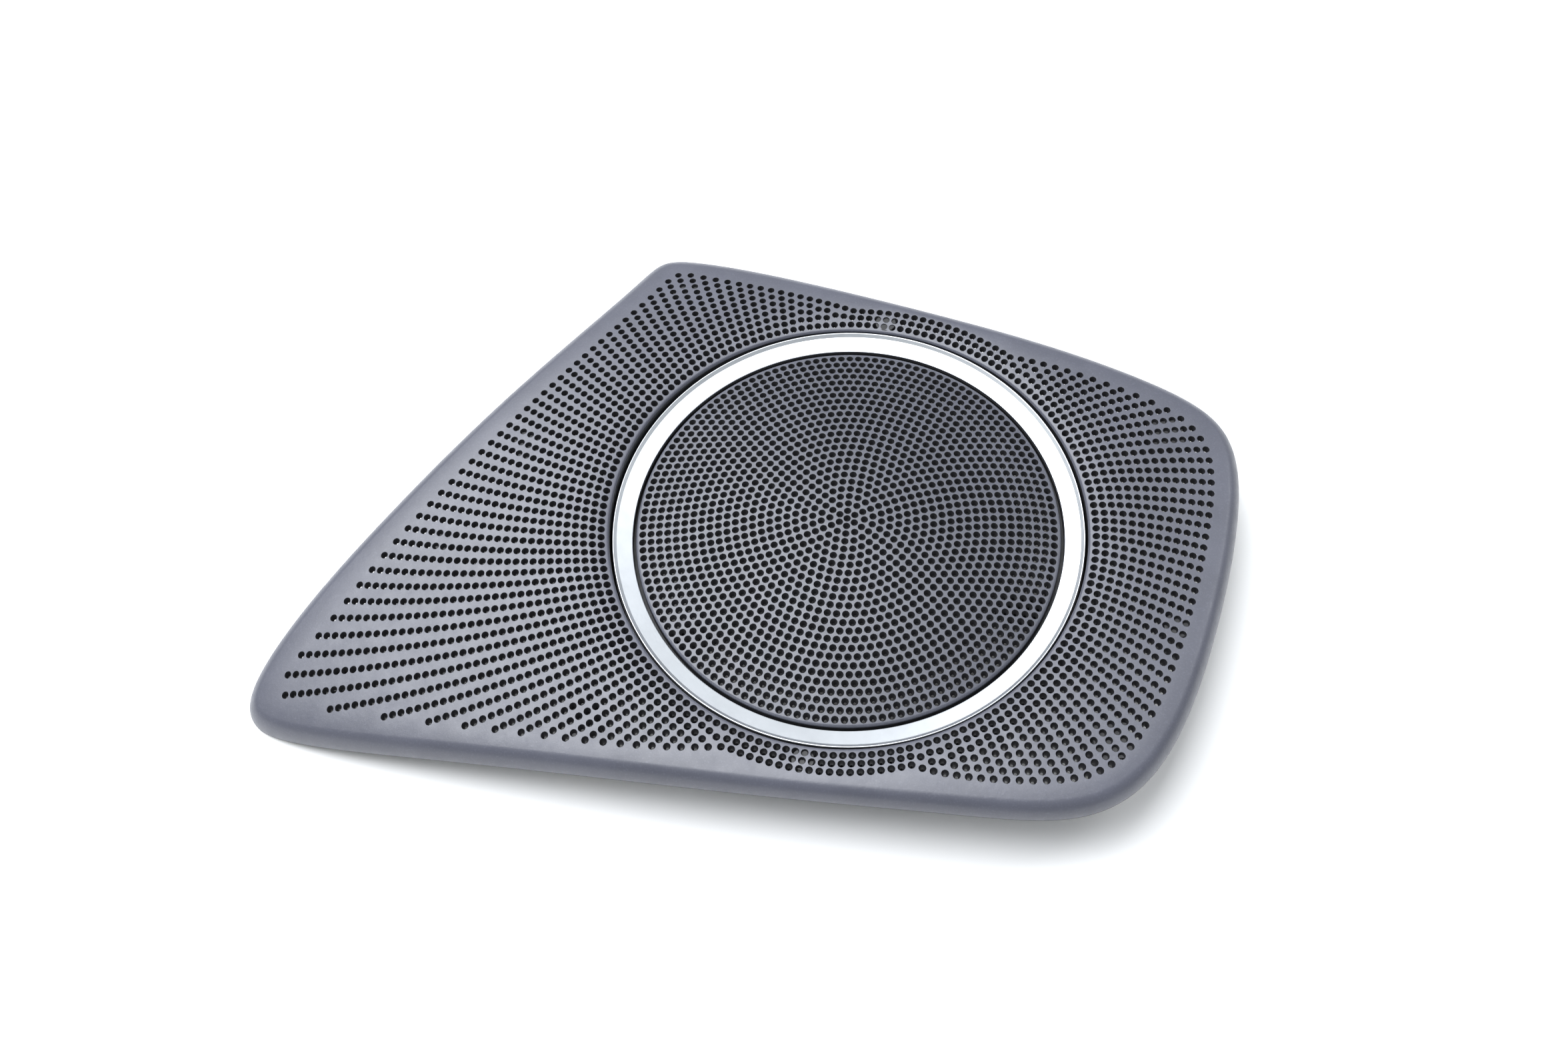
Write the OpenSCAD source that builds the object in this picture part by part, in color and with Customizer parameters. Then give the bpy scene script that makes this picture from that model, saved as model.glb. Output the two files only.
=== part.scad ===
// Perforated door loudspeaker cover with a trim ring, a domed centre grille and a
// dome tweeter on a bracket behind the centre grille.
// Lengths are millimetres. +Z points out of the visible face and +X along the longest side.

/* [Perforation] */
// Distance between two hole rings of the centre grille
pitch = 2.5; // [2.4:0.05:2.6]

/* [Outer panel] */
// Thickness of the moulded skin
skin = 1.6; // [1.4:0.1:2.4]
// Radius of the rolled outer edge
roll = 5; // [4:0.5:6]
// Height of the face above the ring plane, without its bow
face_rise = 7.8; // [7:0.1:8.5]
// How far the face dips at the ring opening
lip_dip = 1.8; // [1:0.1:2.5]
// Distance over which that dip fades out
lip_reach = 7.5; // [6:0.5:9]
// Radius of the opening for the ring
opening_r = 69.4; // [69.3:0.1:69.6]

/* [Ring and centre grille] */
// Inner radius of the trim ring
ring_in_r = 63; // [62.6:0.1:63.4]
// Outer radius of the trim ring
ring_out_r = 68.75; // [68.2:0.05:69]
// Outer radius of the centre grille
disc_r = 62; // [61:0.1:62.3]
// Height of the centre grille's dome
dome_rise = 6; // [5:0.5:7]
// Thickness of the centre grille
disc_t = 1.6; // [1.4:0.1:2.2]

/* [Fixing] */
// Radius of the push clips' stems
clip_r = 2.5; // [2:0.1:3]
// Length of a push clip below its collar
clip_len = 8; // [7:0.5:9]
// Radius of the two locating pins
pin_r = 2; // [1.5:0.1:2.5]
// Length of the locating pins below their shoulders
pin_len = 6; // [5:0.5:7]
// Radius on which the six carrier screws sit
carrier_screw_r = 73.2; // [73:0.1:73.4]

/* [Tweeter] */
// Outer radius of the voice coil former
former_r = 12.65; // [12.6:0.05:12.7]
// Height of the tweeter's dome
dome_h = 5.5; // [4.5:0.5:6]
// Outer radius of the tweeter's housing
housing_r = 19.5; // [19:0.1:20]

/* [Hidden] */
$fn = 96;

// Control points of the panel's outline, a closed smooth curve round the ring's axis.
OUTLINE = [[-189, -31], [-170, -44], [-116, -58], [-40, -77], [21, -89], [55, -96], [78, -83],
    [96, -52], [113, -12], [120, 21], [101, 39], [60, 63], [2, 89], [-50, 111], [-54, 101],
    [-104, 53], [-137, 19]];
STEPS = 7;
STATIONS = len(OUTLINE) * STEPS;
// Push clips and locating pins, from the ring's axis.
CLIPS = [[-148, -28], [-92, 36], [-42, 88], [97, 20], [64, -74], [-78, -53]];
PINS = [[-118, 8], [88, -42]];
tower = 10;
lip_chamfer = 1;
edge_round = 0.7;

// Face height above the ring plane: a bow along each side and a fall towards the long corner.
function face(x, y) = let (a = x / 100, b = y / 100)
    face_rise - lip_dip * exp((71.25 - norm([x, y])) / lip_reach) - 1.7 * a - 0.7 * b
    - 3.4 * a * a - 2.9 * a * b - 6.4 * b * b
    + 1.8 * pow(a, 3) + 2.3 * a * a * b + 4.3 * a * b * b;

// Uniform cubic B-spline through the outline's control points, and its direction.
function ctrl(i) = OUTLINE[i % len(OUTLINE)];
function curve(i, t) = (pow(1 - t, 3) * ctrl(i) + (3 * pow(t, 3) - 6 * t * t + 4) * ctrl(i + 1)
    + (-3 * pow(t, 3) + 3 * t * t + 3 * t + 1) * ctrl(i + 2) + pow(t, 3) * ctrl(i + 3)) / 6;
function heading(i, t) = let (d = -pow(1 - t, 2) * ctrl(i) + (3 * t * t - 4 * t) * ctrl(i + 1)
    + (-3 * t * t + 2 * t + 1) * ctrl(i + 2) + t * t * ctrl(i + 3)) d / norm(d);
EDGE = [for (i = [0:len(OUTLINE) - 1], s = [0:STEPS - 1]) curve(i, s / STEPS)];
INWARD = [for (i = [0:len(OUTLINE) - 1], s = [0:STEPS - 1])
    let (d = heading(i, s / STEPS)) [-d[1], d[0]]];

// The lowest point of the rim stands on the surface, and the origin is under the box's centre.
rim_depth = roll + lip_chamfer;
rest_z = min([for (p = EDGE) face(p[0], p[1])]) - rim_depth;
centre_x = (min([for (p = EDGE) p[0]]) + max([for (p = EDGE) p[0]])) / 2;
centre_y = (min([for (p = EDGE) p[1]]) + max([for (p = EDGE) p[1]])) / 2;
module place() translate([-centre_x, -centre_y, -rest_z]) children();

// A point on the face at height drop below it: at a distance inside the edge, or on the way
// from the ring opening (f = 0) to the rolled edge (f = 1).
function at_edge(i, inside, drop) = let (p = EDGE[i] + inside * INWARD[i])
    [p[0], p[1], face(p[0], p[1]) - drop];
function towards(i, r, to, f) = let (c = r * EDGE[i] / norm(EDGE[i]),
    e = EDGE[i] + to * INWARD[i]) c + f * (e - c);
function on_face(i, r, to, f, drop) = let (p = towards(i, r, to, f))
    [p[0], p[1], face(p[0], p[1]) - drop];
function on_circle(i, r, z) = let (c = r * EDGE[i] / norm(EDGE[i])) [c[0], c[1], z];
function lip_point(i, r, drop) = let (c = r * EDGE[i] / norm(EDGE[i]))
    [c[0], c[1], face(c[0], c[1]) - drop];

// Sweeps closed sections round the ring's axis into one solid.
module swept(sections) {
    n = len(sections);
    m = len(sections[0]);
    polyhedron([for (s = sections) each s],
        [for (i = [0:n - 1], k = [0:m - 1]) let (j = (i + 1) % n, l = (k + 1) % m)
            each [[i * m + k, j * m + k, j * m + l], [i * m + k, j * m + l, i * m + l]]]);
}

seat_z = -6;
flange_z = -8;
wall_t = 1.2;
seam_r = opening_r + wall_t;

module panel_skin() swept([for (i = [0:STATIONS - 1]) concat(
    [on_circle(i, opening_r, seat_z), lip_point(i, opening_r, edge_round),
        lip_point(i, opening_r + edge_round * 0.3, edge_round * 0.3),
        lip_point(i, opening_r + edge_round, 0)],
    [for (f = [0.12, 0.3, 0.55, 0.8, 1]) on_face(i, opening_r + edge_round, roll, f, 0)],
    [for (a = [22.5:22.5:90]) at_edge(i, roll * (1 - sin(a)), roll * (1 - cos(a)))],
    [at_edge(i, 0.6, rim_depth), at_edge(i, skin - 0.3, rim_depth), at_edge(i, skin, roll)],
    [at_edge(i, skin + 0.8, skin + 0.7), at_edge(i, roll + 0.5, skin)],
    [for (f = [0.8, 0.55, 0.3, 0.12, 0]) on_face(i, seam_r, roll + 0.5, f, skin)],
    [on_circle(i, seam_r, seat_z)])]);

module at_carrier_screws() for (a = [0:60:300]) rotate(a + 15) translate([carrier_screw_r, 0]) children();
module at_bracket_screws() for (a = [90, 210, 330]) rotate(a) translate([57.4, 0]) children();

// Height at which a tower of half-width w ends, inside the skin above it.
function under(c, w) = min([for (sx = [-w, w], sy = [-w, w]) face(c[0] + sx, c[1] + sy)]) - skin / 2;

clip_top = rest_z + clip_len;
pin_top = rest_z + pin_len + 2;

module outer_panel() color("#3b3e46") place() difference() {
    union() {
        panel_skin();
        at_carrier_screws() translate([0, 0, seat_z]) cylinder(r = 3.2, h = 8, $fn = 32);
        for (c = CLIPS) translate([c[0] - tower / 2, c[1] - tower / 2, clip_top])
            cube([tower, tower, under(c, tower / 2) - clip_top]);
        for (c = PINS) {
            translate([c[0], c[1], pin_top]) cylinder(r = 4, h = under(c, 4) - pin_top);
            translate([c[0], c[1], pin_top - pin_len]) cylinder(r = pin_r, h = pin_len + 1);
        }
    }
    at_carrier_screws() translate([0, 0, seat_z - 1]) cylinder(r = 1.5, h = 7, $fn = 32);
    for (c = CLIPS) translate([c[0], c[1], clip_top - 1]) cylinder(r = clip_r + 0.1, h = 4);
}

module trim_ring() color("#e8edf2") place() rotate_extrude(convexity = 4) polygon([[ring_in_r, -0.5],
    [ring_out_r - 1.25, 0.9], [ring_out_r - 0.3, 1.8], [ring_out_r, 1.6], [ring_out_r, -1],
    [ring_in_r, -2]]);

ledge_in_r = 59.8;
carrier_out_r = 76.5;
ear_w = 9;
module ring_carrier() color("#26282c") place() difference() {
    union() {
        rotate_extrude(convexity = 6) polygon([[ledge_in_r, flange_z], [ledge_in_r, -4],
            [ring_in_r + 0.2, -4], [ring_in_r + 0.2, -2], [ring_out_r, -1.03],
            [opening_r - 0.3, -1.03], [opening_r - 0.3, seat_z], [carrier_out_r, seat_z],
            [carrier_out_r, flange_z]]);
        for (a = [90, 210, 330]) rotate(a) translate([57.4, -ear_w / 2, flange_z]) cube([4, ear_w, 2]);
        at_bracket_screws() translate([0, 0, flange_z]) {
            cylinder(r = ear_w / 2, h = 2);
            cylinder(r = 2.2, h = 4.5, $fn = 32);
        }
    }
    at_carrier_screws() translate([0, 0, flange_z - 1]) cylinder(r = 1.8, h = 4, $fn = 32);
    at_bracket_screws() translate([0, 0, flange_z - 1]) cylinder(r = 1.3, h = 4.5, $fn = 32);
}

function dome(r, rise) = rise * (1 - pow(r / (24 * pitch), 2));
function dome_line(r0, r1, drop, n) = [for (i = [0:n]) let (r = r0 + (r1 - r0) * i / n)
    [r, dome(r, dome_rise) - drop]];
skirt_in_r = disc_r - 0.9;
module centre_grille() color("#34373e") place() rotate_extrude(convexity = 4) polygon(concat(
    dome_line(0, disc_r - 0.8, 0, 14), [[disc_r, -1.2], [disc_r, -4], [skirt_in_r, -4],
        [skirt_in_r, dome(skirt_in_r, dome_rise) - disc_t]], dome_line(skirt_in_r - 0.2, 0, disc_t, 14)));
cloth_r = 50;
module centre_cloth() color("#101012") place() rotate_extrude(convexity = 4) polygon(concat(
    dome_line(0, cloth_r, disc_t + 0.1, 12), dome_line(cloth_r, 0, disc_t + 0.5, 12)));

module speaker_seal() color("#2c2c2e") place() translate([0, 0, flange_z - 8]) difference() {
    cylinder(r = 69.5, h = 8);
    translate([0, 0, -1]) cylinder(r = 64, h = 10);
}

// A pan-head screw whose head's top face is at z = 0 and whose shank points up.
module screw(head_r, head_h, shank_r, shank_h) {
    difference() {
        translate([0, 0, -head_h]) cylinder(r = head_r, h = head_h, $fn = 32);
        translate([0, 0, -head_h - 1]) cylinder(r = head_r * 0.42, h = 1 + head_h * 0.6, $fn = 6);
    }
    cylinder(r = shank_r, h = shank_h, $fn = 32);
}
module carrier_screws() color("#c9ccd0") place() at_carrier_screws()
    translate([0, 0, flange_z]) screw(2.8, 2, 1.4, 6.5);
bracket_t = 2;
bracket_z = flange_z - bracket_t;
module bracket_screws() color("#c9ccd0") place() at_bracket_screws()
    translate([0, 0, bracket_z]) screw(2.6, 1.8, 1.2, 5);

// A push clip: collar, stem, barbed head and a plug into the tower above.
module push_clip(c) color("#d9d4c4") place() translate([c[0], c[1], rest_z]) rotate_extrude()
    polygon([[0, 0], [1.2, 0], [clip_r + 1.2, 3], [clip_r + 1.2, 3.6], [clip_r, 4.4],
        [clip_r, clip_len - 1.2], [5, clip_len - 1.2], [5, clip_len], [clip_r, clip_len],
        [clip_r, clip_len + 2.6], [0, clip_len + 2.6]]);
module push_clip_1() push_clip(CLIPS[0]);
module push_clip_2() push_clip(CLIPS[1]);
module push_clip_3() push_clip(CLIPS[2]);
module push_clip_4() push_clip(CLIPS[3]);
module push_clip_5() push_clip(CLIPS[4]);
module push_clip_6() push_clip(CLIPS[5]);

hub_r = housing_r + 7.5;
module at_housing_screws() for (a = [30, 150, 270]) rotate(a) translate([housing_r + 3.2, 0]) children();
module tweeter_bracket() color("#2f3136") place() translate([0, 0, bracket_z]) difference() {
    linear_extrude(bracket_t) difference() {
        union() {
            circle(r = hub_r);
            for (a = [90, 210, 330]) rotate(a) translate([0, -ear_w / 2]) square([57.4, ear_w]);
            at_bracket_screws() circle(r = ear_w / 2);
        }
        circle(r = housing_r + 0.1);
        at_bracket_screws() circle(r = 1.5);
        at_housing_screws() circle(r = 0.9);
    }
}

// Tweeter stack, heights from the ring plane: floor, magnet, gap, surround, face ring.
floor_z = -17;
yoke_z = floor_z + 1.2;
magnet_z = yoke_z + 2;
plate_z = magnet_z + 3.2;
gap_top = plate_z + 2;
rim_z = -6.5;
bore_r = housing_r - 1.5;
module tube(r_in, r_out, z0, z1) translate([0, 0, z0]) difference() {
    cylinder(r = r_out, h = z1 - z0);
    translate([0, 0, -1]) cylinder(r = r_in, h = z1 - z0 + 2);
}
pin_gap = 5;
module tweeter_housing() color("#1f2023") place() difference() {
    union() {
        translate([0, 0, floor_z]) cylinder(r = housing_r, h = rim_z - floor_z);
        translate([0, 0, flange_z]) cylinder(r = housing_r + 5.5, h = rim_z - flange_z);
    }
    translate([0, 0, yoke_z]) cylinder(r = bore_r, h = 20);
    for (s = [-1, 1]) translate([s * pin_gap / 2 - 0.5, -housing_r - 1, -13.3]) cube([1, 4, 0.6]);
    at_housing_screws() translate([0, 0, flange_z - 1]) cylinder(r = 1.3, h = 4, $fn = 32);
}
module terminal_socket() color("#303236") place() translate([0, 0, -16.4]) difference() {
    translate([-6, -housing_r - 9, 0]) cube([12, 10, 6.2]);
    translate([0, 0, -1]) cylinder(r = housing_r, h = 9);
    translate([-4.8, -housing_r - 10, 1]) cube([9.6, 7, 4.2]);
    for (s = [-1, 1]) translate([s * pin_gap / 2 - 0.5, -housing_r - 6, 3.1]) cube([1, 8, 0.6]);
}
module contact_pins() color("#c8a24a") place() for (s = [-1, 1])
    translate([s * pin_gap / 2 - 0.5, 0, 0]) {
        translate([0, -housing_r - 7.5, -13.3]) cube([1, 10.5, 0.6]);
        translate([0, -housing_r + 2.4, -13.3]) cube([1, 0.6, 5.3]);
    }
module tinsel_leads() color("#b87440") place() for (s = [-1, 1])
    translate([s * pin_gap / 2, -housing_r + 2.7, -7.7]) rotate([-90, 0, 0]) {
        cylinder(r = 0.3, h = 3.2, $fn = 16);
    }
module yoke_cup() color("#8f9499") place() difference() {
    translate([0, 0, yoke_z]) cylinder(r = 15.4, h = gap_top - yoke_z);
    translate([0, 0, magnet_z]) cylinder(r = former_r + 0.75, h = 20);
}
module magnet() color("#6f7478") place() translate([0, 0, magnet_z]) cylinder(r = 11, h = plate_z - magnet_z);
module pole_plate() color("#9a9fa4") place() translate([0, 0, plate_z])
    cylinder(r = former_r - 0.45, h = gap_top - plate_z);
module damping_felt() color("#4a4a48") place() translate([0, 0, gap_top]) cylinder(r = 10.5, h = 1.2);
former_z = [magnet_z + 1.2, -6.6];
module coil_former() color("#c9b48a") place() tube(former_r - 0.15, former_r, former_z[0], former_z[1]);
module voice_coil() color("#b06a35") place() tube(former_r, former_r + 0.4, gap_top - 3, gap_top + 0.6);
function cap(r0, h, t) = [for (i = [0:12]) let (a = 90 * i / 12) [(r0 - t) * sin(a), (h - t) * cos(a)]];
module dome_diaphragm() color("#b9bec4") place() translate([0, 0, former_z[1]])
    rotate_extrude() polygon(concat(cap(former_r + 0.05, dome_h, 0),
        [for (i = [12:-1:0]) cap(former_r + 0.05, dome_h, 0.3)[i]]));
// Half-roll between the dome's edge and the clamped rim.
roll_in = former_r + 0.35;
roll_out = bore_r - 1.6;
function roll_line(t) = let (m = (roll_in + roll_out) / 2, w = (roll_out - roll_in) / 2)
    [for (a = [180:-20:0]) [m + (w - t) * cos(a), rim_z + (1.5 - t) * sin(a)]];
module surround() color("#2b2b2d") place() rotate_extrude() polygon(concat(roll_line(0),
    [[bore_r + 0.6, rim_z + 0.2], [bore_r + 0.6, rim_z], [roll_out - 0.25, rim_z]],
    [for (i = [8:-1:0]) roll_line(0.25)[i]]));
module tweeter_face_ring() color("#17181a") place() difference() {
    rotate_extrude(convexity = 4) polygon([[roll_out + 0.3, rim_z + 0.2], [roll_out + 0.3, rim_z + 1],
        [roll_out + 1, rim_z + 1.5], [housing_r + 5, rim_z + 1.5], [housing_r + 5.5, rim_z + 1],
        [housing_r + 5.5, rim_z], [bore_r + 0.6, rim_z], [bore_r + 0.6, rim_z + 0.2]]);
    at_housing_screws() translate([0, 0, rim_z - 1]) cylinder(r = 1.3, h = 4, $fn = 32);
}
module housing_screws() color("#3a3c40") place() at_housing_screws()
    translate([0, 0, rim_z + 1.5]) mirror([0, 0, 1]) screw(2.2, 1.2, 0.85, 5);

outer_panel();
trim_ring();
ring_carrier();
centre_grille();
centre_cloth();
speaker_seal();
carrier_screws();
push_clip_1();
push_clip_2();
push_clip_3();
push_clip_4();
push_clip_5();
push_clip_6();
tweeter_bracket();
bracket_screws();
tweeter_housing();
tweeter_face_ring();
housing_screws();
dome_diaphragm();
surround();
coil_former();
voice_coil();
magnet();
pole_plate();
yoke_cup();
damping_felt();
terminal_socket();
contact_pins();
tinsel_leads();
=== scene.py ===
"""Looks of a perforated door loudspeaker cover with its trim ring, domed centre grille and dome tweeter.

Shapes are worked out in millimetres from the trim ring's axis and plane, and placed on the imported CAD
model in metres. A "station" is a point of a profile with the direction its surface faces there.
"""

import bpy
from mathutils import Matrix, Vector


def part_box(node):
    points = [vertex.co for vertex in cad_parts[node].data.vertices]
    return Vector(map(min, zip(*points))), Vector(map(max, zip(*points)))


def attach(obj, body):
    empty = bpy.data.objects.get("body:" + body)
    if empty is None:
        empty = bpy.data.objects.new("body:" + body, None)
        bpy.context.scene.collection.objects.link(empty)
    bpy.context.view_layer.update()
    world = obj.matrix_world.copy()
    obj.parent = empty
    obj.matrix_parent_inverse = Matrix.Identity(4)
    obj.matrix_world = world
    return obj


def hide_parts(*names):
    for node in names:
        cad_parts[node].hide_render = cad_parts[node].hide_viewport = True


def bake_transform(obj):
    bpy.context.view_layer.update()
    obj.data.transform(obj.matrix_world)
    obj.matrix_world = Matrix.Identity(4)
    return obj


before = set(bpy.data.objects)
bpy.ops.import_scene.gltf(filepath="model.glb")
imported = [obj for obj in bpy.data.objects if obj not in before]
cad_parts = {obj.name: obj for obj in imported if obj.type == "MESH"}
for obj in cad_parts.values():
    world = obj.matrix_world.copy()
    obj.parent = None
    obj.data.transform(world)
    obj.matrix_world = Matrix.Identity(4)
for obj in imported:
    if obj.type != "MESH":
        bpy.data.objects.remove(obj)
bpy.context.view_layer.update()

import math

import bpy
import numpy as np
from mathutils import Matrix, Vector, geometry

MM = 0.001
TAU = 2 * math.pi
UP = np.array([0.0, 0.0, 1.0])

# The trim ring gives the axis and the plane that everything else is measured from.
RING_TOP = 1.8
ring_low, ring_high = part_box("trim_ring")
AXIS = np.array([(ring_low.x + ring_high.x) / 2, (ring_low.y + ring_high.y) / 2, ring_high.z]) / MM
AXIS[2] -= RING_TOP

# Perforation
PITCH = 2.5
RINGS = 24
HOLE_R = 1.07
HOLE_RIM = 0.06
HOLE_BACK_R = 0.4
HOLE_STEPS = 12

# Outer panel. Its edge stays a little inside the CAD model's, and the crown leans the facing outwards there.
SKIN = 2.0
EDGE_INSET = 0.05
EDGE_CROWN = 0.12
ROLL_REACH = 4.0
ROLL_DROP = 5.0
OPENING_R = 69.4
OPENING_ROUND = 0.7
WALL_R = 70.6
SEAT_Z = -6.0
OUTLINE = [(-189, -31), (-170, -44), (-116, -58), (-40, -77), (21, -89), (55, -96), (78, -83),
           (96, -52), (113, -12), (120, 21), (101, 39), (60, 63), (2, 89), (-50, 111), (-54, 101),
           (-104, 53), (-137, 19)]
# The smooth line on which the rows of holes end.
ROW_ENDS = [(-161, -22), (-176, -35), (-110, -50), (-49, -68), (0, -64), (7, -78), (46, -85), (67, -83),
            (88, -49), (103, -12), (112, 20), (87, 37), (57, 54), (28, 59), (20, 74), (-48, 99),
            (-43, 99), (-98, 44), (-136, 6)]
ROWS = 174
ROW_START_R = 71.5
ROW_GAP = 2.44
SHORTEST_ROW_R = 76.4
CLIPS = [(-148, -28), (-92, 36), (-42, 88), (97, 20), (64, -74), (-78, -53)]
PINS = [(-118, 8), (88, -42)]
TOWER = 10.0
CARRIER_SCREW_R = 73.2
CARRIER_SCREW_TURN = math.radians(15)
BRACKET_SCREW_R = 57.4

# Centre grille and its cloth
DISC_R = 62.0
DISC_T = 1.6
DOME = 6.0
DOME_R = RINGS * PITCH
SKIRT_Z = -4.0
CLOTH_R = 50
CLOTH_T = 0.4
CLOTH_GAP = 0.1

# Tweeter
HOUSING_R = 19.5
FLANGE_R = HOUSING_R + 5.5
HOUSING_SCREW_R = HOUSING_R + 3.2
HOUSING_SCREW_TURN = math.radians(30)
FLOOR_Z = -17.0
RIM_Z = -6.5
FORMER_R = 12.65
ROLL_IN, ROLL_OUT = FORMER_R + 0.35, HOUSING_R - 3.1


def placed(points):
    """Points in millimetres from the ring, as points of the shared frame in metres."""
    return (np.asarray(points, float) + AXIS) * MM


def unit(v):
    v = np.asarray(v, float)
    return v / np.linalg.norm(v, axis=-1, keepdims=True)


# ---------------------------------------------------------------- mesh building


class Shell:
    """Points, faces and a normal for each face corner, in millimetres from the ring. The finish
    that faces take is the one that is current when they are added."""

    def __init__(self):
        self.points, self.faces, self.normals, self.finishes, self.count = [], [], [], [], 0
        self.current = 0

    def add(self, points):
        points = np.asarray(points, float)
        self.points.append(points.reshape(-1, 3))
        index = self.count + np.arange(points.size // 3).reshape(points.shape[:-1])
        self.count += points.size // 3
        return index

    def face(self, index, normals):
        index = np.asarray(index)
        self.faces.append(index)
        self.finishes.append(np.full(len(index), self.current))
        self.normals.append(np.broadcast_to(normals, index.shape + (3,)))

    def band(self, inner, outer, inner_normals, outer_normals):
        """Quads from one closed row of points to the next. They face up where both rows run
        counter-clockwise and the second lies outside the first."""
        step = lambda a: np.roll(a, -1, axis=inner.ndim - 1)
        n0 = np.broadcast_to(inner_normals, inner.shape + (3,))
        n1 = np.broadcast_to(outer_normals, outer.shape + (3,))
        corners = np.stack([inner, outer, step(outer), step(inner)], -1)
        normals = np.stack([n0, n1, step(n1), step(n0)], -2)
        self.face(corners.reshape(-1, 4), normals.reshape(-1, 4, 3))

    def cap(self, ring, centre, normal):
        """A fan that closes a ring, facing up where it runs counter-clockwise."""
        middle = self.add([centre])[0]
        corners = np.stack([np.full(len(ring), middle), ring, np.roll(ring, -1)], -1)
        self.face(corners if normal[2] > 0 else corners[:, ::-1], normal)

    def turn(self, stations, steps=96, centre=(0, 0), warp=None):
        """Turns a profile of (r, z, facing r, facing z) stations, counter-clockwise in the
        half-plane, about an upright axis. warp changes the radius by station and angle."""
        angles = np.arange(steps) * TAU / steps
        round_dir = np.stack([np.cos(angles), np.sin(angles), 0 * angles], -1)
        middle = np.array([centre[0], centre[1], 0.0])
        rows = []
        for r, z, nr, nz in stations:
            if r < 1e-6:
                rows.append((self.add([middle + UP * z]), UP * math.copysign(1, nz)))
                continue
            reach = r if warp is None else warp(r, z, angles)[:, None]
            rows.append((self.add(middle + round_dir * reach + UP * z), unit(round_dir * nr + UP * nz)))
        closed = stations[0][0] >= 1e-6
        for (a, na), (b, nb) in zip(rows, rows[1:] + (rows[:1] if closed else [])):
            if len(a) == 1 and len(b) == 1:
                continue
            if len(a) == 1:
                corners = np.stack([np.full(steps, a[0]), np.roll(b, -1), b], -1)
                self.face(corners, na)
            elif len(b) == 1:
                corners = np.stack([np.full(steps, b[0]), a, np.roll(a, -1)], -1)
                self.face(corners, nb)
            else:
                self.band(b, a, nb, na)

    def stack(self, levels):
        """Closed loops of plan points, each with its height, from the top down, capped at both
        ends. Each side is flat."""
        rows = [self.add(np.c_[loop, np.full(len(loop), z)]) for loop, z in levels]
        middle = np.mean(levels[0][0], 0)
        self.cap(rows[0], [*middle, levels[0][1]], UP)
        self.cap(rows[-1], [*middle, levels[-1][1]], -UP)
        for (a, b, (loop_a, za), (loop_b, zb)) in zip(rows, rows[1:], levels, levels[1:]):
            across = np.roll(loop_b, -1, 0) - loop_b
            side = np.c_[across[:, 1], -across[:, 0]]
            out = ((loop_b - loop_a) * unit(side)).sum(1)
            flat = unit(np.c_[unit(side) * abs(za - zb), out])
            corners = np.stack([a, b, np.roll(b, -1), np.roll(a, -1)], -1)
            self.face(corners, np.repeat(flat[:, None], 4, 1))

    def moved(self, matrix):
        """This shell's points and normals through a 4x4 matrix, as a new shell."""
        m = np.array(matrix, float)
        out = Shell()
        out.points = [np.concatenate(self.points) @ m[:3, :3].T + m[:3, 3]]
        out.faces, out.finishes = list(self.faces), list(self.finishes)
        out.normals = [n @ m[:3, :3].T for n in self.normals]
        out.count = self.count
        return out

    def join(self, other):
        shift = self.count
        self.points += other.points
        self.faces += [f + shift for f in other.faces]
        self.finishes += other.finishes
        self.normals += other.normals
        self.count += other.count

    def build(self, name, materials, body, nodes, slot):
        mesh = bpy.data.meshes.new(name)
        faces = [row for block in self.faces for row in block.tolist()]
        mesh.from_pydata(placed(np.concatenate(self.points)).tolist(), [], faces)
        mesh.polygons.foreach_set("material_index", np.concatenate(self.finishes))
        mesh.normals_split_custom_set(np.concatenate([n.reshape(-1, 3) for n in self.normals]).tolist())
        for material in materials if isinstance(materials, list) else [materials]:
            mesh.materials.append(material)
        obj = bpy.data.objects.new(name, mesh)
        bpy.context.scene.collection.objects.link(obj)
        if body:
            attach(obj, body)
        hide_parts(*nodes)
        return obj


def rounded(corners, radius=0.2, arc_steps=3):
    """Stations along a counter-clockwise profile whose corners are rounded. A profile that starts
    on the axis also ends there."""
    pts = np.asarray(corners, float)
    n = len(pts)
    on_axis = pts[0, 0] < 1e-6
    stations = []
    for i in range(n):
        before, here, after = pts[i - 1], pts[i], pts[(i + 1) % n]
        d0, d1 = here - before, after - here
        l0, l1 = np.hypot(*d0), np.hypot(*d1)
        if on_axis and i in (0, n - 1):
            d = d1 if i == 0 else d0
            stations.append((here[0], here[1], *(np.array([d[1], -d[0]]) / np.hypot(*d))))
            continue
        d0, d1 = d0 / l0, d1 / l1
        turn = math.atan2(d0[0] * d1[1] - d0[1] * d1[0], d0 @ d1)
        if abs(turn) < 1e-3:
            stations.append((here[0], here[1], d0[1], -d0[0]))
            continue
        trim = min(radius * math.tan(abs(turn) / 2), 0.45 * l0, 0.45 * l1)
        reach = trim / math.tan(abs(turn) / 2)
        side = math.copysign(1, turn)
        centre = here - d0 * trim + side * reach * np.array([-d0[1], d0[0]])
        for k in range(arc_steps + 1):
            a = turn * k / arc_steps
            facing = np.array([d0[1] * math.cos(a) + d0[0] * math.sin(a),
                               -d0[0] * math.cos(a) + d0[1] * math.sin(a)])
            stations.append((*(centre + side * reach * facing), *facing))
    return stations


def smooth_line(points):
    """Stations along an open line whose facing turns smoothly, with the outside on its right."""
    pts = np.asarray(points, float)
    d = np.gradient(pts, axis=0)
    d /= np.hypot(*d.T)[:, None]
    return [(p[0], p[1], t[1], -t[0]) for p, t in zip(pts, d)]


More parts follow.
